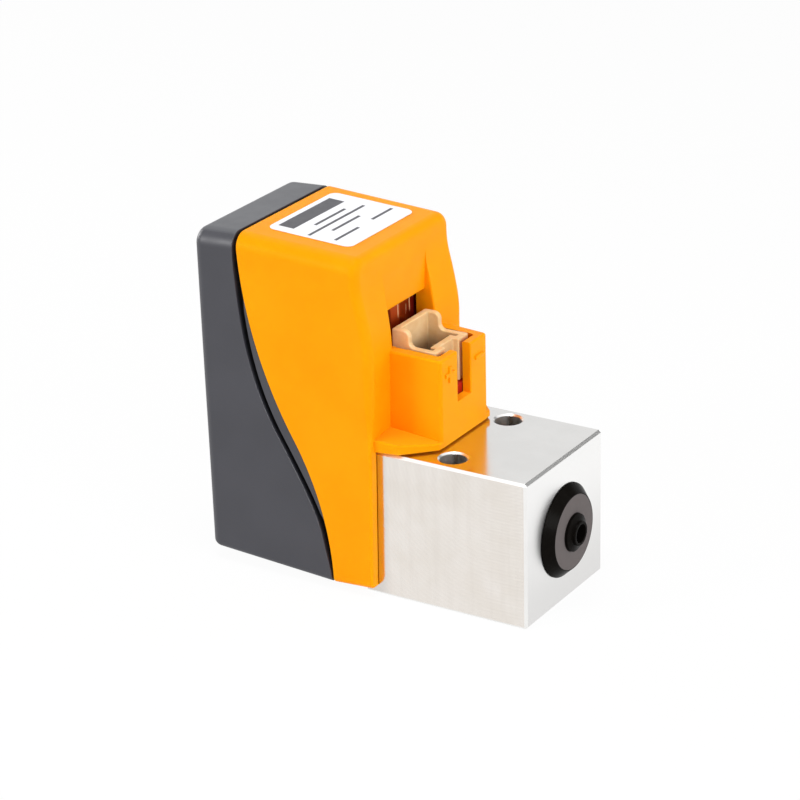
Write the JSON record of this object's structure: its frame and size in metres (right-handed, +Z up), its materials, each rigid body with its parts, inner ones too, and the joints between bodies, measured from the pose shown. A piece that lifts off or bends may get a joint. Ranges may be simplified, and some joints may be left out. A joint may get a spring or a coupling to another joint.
{
  "type": "proportional solenoid valve",
  "caption": "Direct-acting proportional valve: aluminium block with a turned port nipple, spring-closed armature in a coil, two-part plastic housing with a shrouded plug header",
  "frame": {"origin": "middle of the overall footprint, on the block's base", "axes": "+Z up, along the armature's travel; +X out of the port nipple; +Y to the left seen from behind the port"},
  "size_m": [0.045, 0.0212, 0.0419],
  "materials": {
    "aluminium": "milled and deburred, fine tool marks",
    "black_oxide": "turned, black, satin",
    "seal_rubber": "matt black rubber",
    "poppet_rubber": "ground red rubber",
    "stainless": "turned stainless steel",
    "magnetic_steel": "turned magnetic stainless steel",
    "zinc_steel": "zinc plated steel",
    "spring_steel": "drawn spring wire",
    "bobbin_nylon": "glass-filled nylon",
    "coil_tape": "amber film tape over copper winding",
    "board_red": "red solder mask",
    "header_nylon": "natural nylon",
    "tinned_brass": "tin plated brass",
    "orange_moulding": "satin moulded plastic with a fine eroded texture",
    "grey_moulding": "satin moulded plastic with a fine eroded texture",
    "label_white": "satin white film label"
  },
  "bodies": {
    "valve": {"valve_body": "aluminium", "port_nipple": "black_oxide", "nipple_o_ring": "seal_rubber", "inlet_screen": "stainless", "base_o_ring": "seal_rubber", "guide_tube_o_ring": "seal_rubber", "channel_plug": "stainless", "orifice_seat": "stainless", "seat_o_ring": "seal_rubber", "guide_tube": "stainless", "fixed_core": "magnetic_steel", "return_spring": "spring_steel", "bobbin": "bobbin_nylon", "coil_winding": "coil_tape", "coil_lead_1": "tinned_brass", "coil_lead_2": "tinned_brass", "flux_plate": "zinc_steel", "plate_screw_1": "stainless", "plate_screw_2": "stainless", "plate_screw_3": "stainless", "plate_screw_4": "stainless", "flux_frame": "zinc_steel", "core_nut": "zinc_steel", "terminal_board": "board_red", "header_housing": "header_nylon", "header_pin_1": "tinned_brass", "header_pin_2": "tinned_brass", "rear_cover": "grey_moulding", "front_cover": "orange_moulding", "label": "label_white"},
    "armature": {"armature": "magnetic_steel", "poppet_seal": "poppet_rubber"}
  },
  "joints": [
    {"name": "armature_stroke", "type": "slide", "parent": "valve", "child": "armature", "axis": [0, 0, 1], "range_m": [0, 0.0005], "stiffness_N_per_m": 500, "springref_m": -0.002, "deforming": ["return_spring"]}
  ]
}
